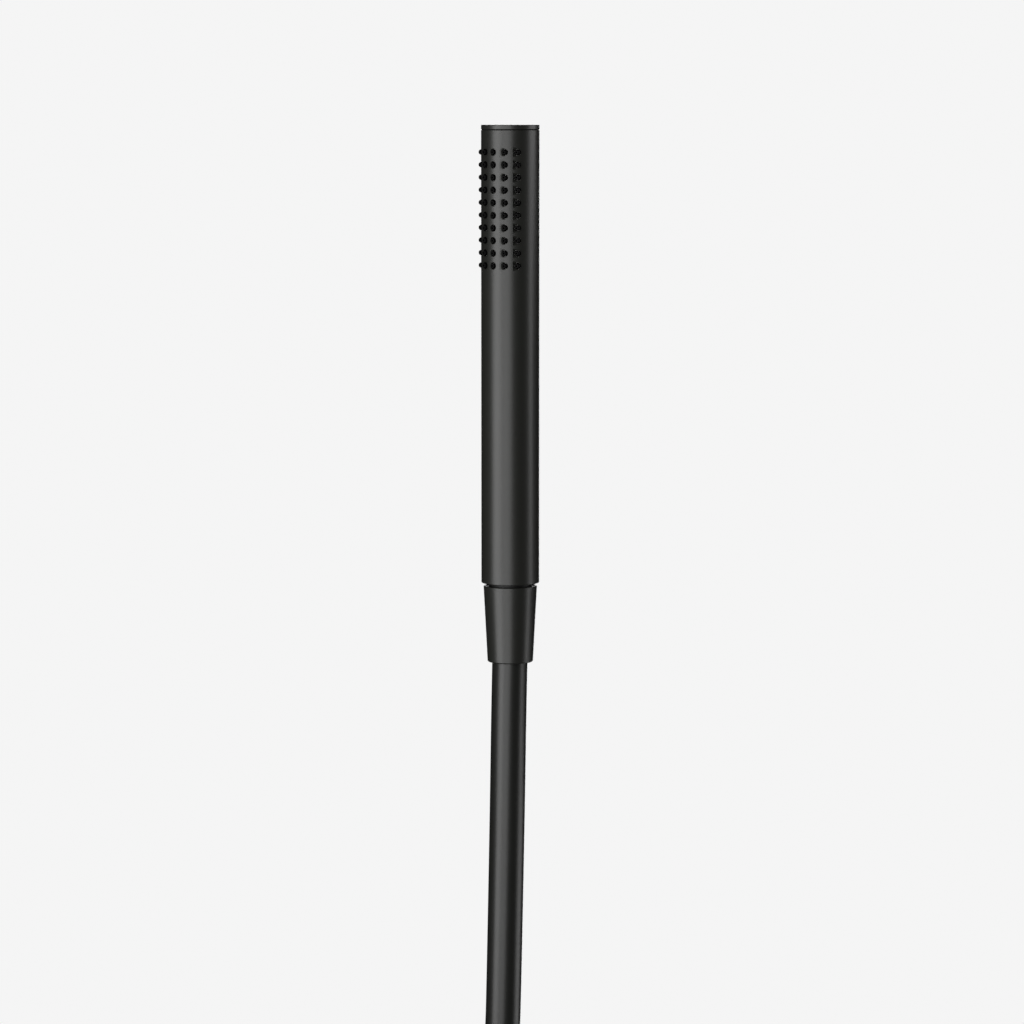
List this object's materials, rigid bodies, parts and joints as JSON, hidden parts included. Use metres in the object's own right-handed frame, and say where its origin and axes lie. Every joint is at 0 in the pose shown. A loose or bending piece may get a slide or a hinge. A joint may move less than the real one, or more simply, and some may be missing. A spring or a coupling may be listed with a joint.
{
  "type": "handheld shower head",
  "caption": "Slim stick hand shower with rubber nozzles along one side, a conical hose nut and a smooth hose tied in a hank.",
  "frame": {"origin": "on the handle's axis at mid-height of the cone nut's taper, where a wall holder grips it", "axes": "+Z along the handle towards its cap, -Y the side the jets leave from, +X to the right seen from the jets' side"},
  "size_m": [0.1148, 0.0592, 0.6948],
  "materials": {
    "black_metal": "matte black coating",
    "nozzle_rubber": "soft black silicone",
    "seal_rubber": "black sealing rubber",
    "inner_plastic": "natural moulded plastic",
    "dark_brass": "black coated brass",
    "plain_brass": "turned brass",
    "spring_steel": "bright stainless steel",
    "ferrule_steel": "black coated steel",
    "hose_skin": "smooth satin black PVC",
    "tie_strap": "black hook-and-loop strap"
  },
  "bodies": {
    "handle": {"handle_tube": "black_metal", "end_cap": "black_metal", "cap_o_ring": "seal_rubber", "cap_gasket": "seal_rubber", "nozzle_strip": "nozzle_rubber", "nozzle_carrier": "inner_plastic", "carrier_o_ring": "seal_rubber", "waterway_tube": "inner_plastic", "waterway_o_rings": "seal_rubber", "inlet_adapter": "dark_brass", "adapter_o_ring": "seal_rubber", "flow_regulator": "inner_plastic", "regulator_ring": "seal_rubber", "valve_body": "inner_plastic", "valve_body_o_ring": "seal_rubber", "valve_spring": "spring_steel", "cone_nut": "black_metal", "filter_washer": "seal_rubber", "filter_mesh": "spring_steel", "swivel_stem": "plain_brass", "swivel_o_ring": "seal_rubber", "swivel_bush": "inner_plastic"},
    "valve": {"valve_poppet": "inner_plastic", "valve_seal": "seal_rubber"},
    "hose": {"hose_tail": "plain_brass", "crimp_ferrule": "ferrule_steel", "hose_ends": "hose_skin", "hose_tube": "hose_skin", "hose_hank": "hose_skin", "hose_tie_left": "tie_strap", "hose_tie_right": "tie_strap", "wall_ferrule": "ferrule_steel", "wall_tail": "plain_brass", "wall_washer": "seal_rubber"},
    "wall_nut": {"wall_nut": "black_metal"}
  },
  "joints": [
    {"name": "hose_swivel", "type": "hinge", "parent": "handle", "child": "hose", "pos_m": [0, 0, 0], "axis": [0, 0, 1], "continuous": true},
    {"name": "valve_slide", "type": "slide", "parent": "handle", "child": "valve", "axis": [0, 0, 1], "range_m": [0, 0.0025], "stiffness_N_per_m": 200, "springref_m": -0.002, "deforming": ["valve_spring"]},
    {"name": "wall_nut_spin", "type": "hinge", "parent": "hose", "child": "wall_nut", "pos_m": [-0.016, 0.034, -0.4802], "axis": [0, 0, 1], "continuous": true}
  ]
}
